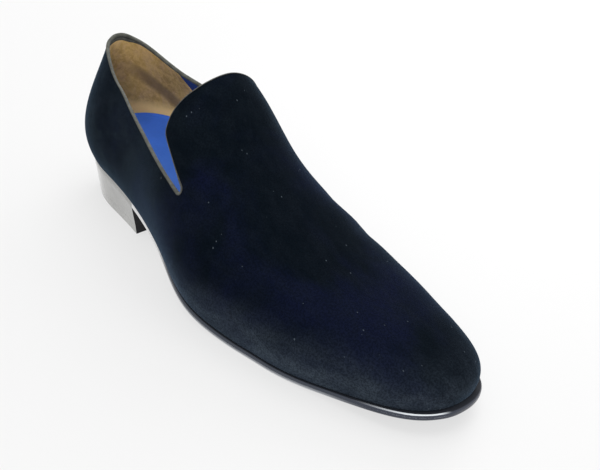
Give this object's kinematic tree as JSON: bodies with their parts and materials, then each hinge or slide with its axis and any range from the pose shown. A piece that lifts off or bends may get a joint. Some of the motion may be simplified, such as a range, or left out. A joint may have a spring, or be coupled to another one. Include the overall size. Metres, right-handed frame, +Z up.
{
  "type": "velvet slipper loafer",
  "caption": "Right velvet slipper loafer with deep side slits, a high rounded vamp, a ribbed tape edge, a thin leather sole and a low stacked heel.",
  "frame": {"origin": "middle of the heel's length on the floor, under the centre line of the heel", "axes": "+X to the toe, +Y to the wearer's left (the inner side of this right shoe), +Z up"},
  "size_m": [0.3002, 0.0994, 0.1094],
  "materials": {
    "velvet": "near-black navy velvet with a soft grey-blue nap sheen",
    "ribbed_tape": "dark olive-grey ribbed silk tape",
    "sock_leather": "smooth royal-blue leather, satin",
    "midsole_edge": "black polished edge",
    "sole_leather": "black polished leather edge and sole",
    "heel_leather": "grey, painted and polished, faint vertical striation; its front is dull and near black",
    "top_lift_rubber": "grey, polished; its front is dull and near black",
    "heel_suede": "tan suede lining of the heel",
    "quarter_lining": "dark blue smooth leather lining"
  },
  "bodies": {
    "root": {"upper": "velvet", "topline_binding": "ribbed_tape", "insole": "sock_leather", "midsole": "midsole_edge", "outsole": "sole_leather", "heel_stack": "heel_leather", "top_lift": "top_lift_rubber"}
  },
  "joints": []
}
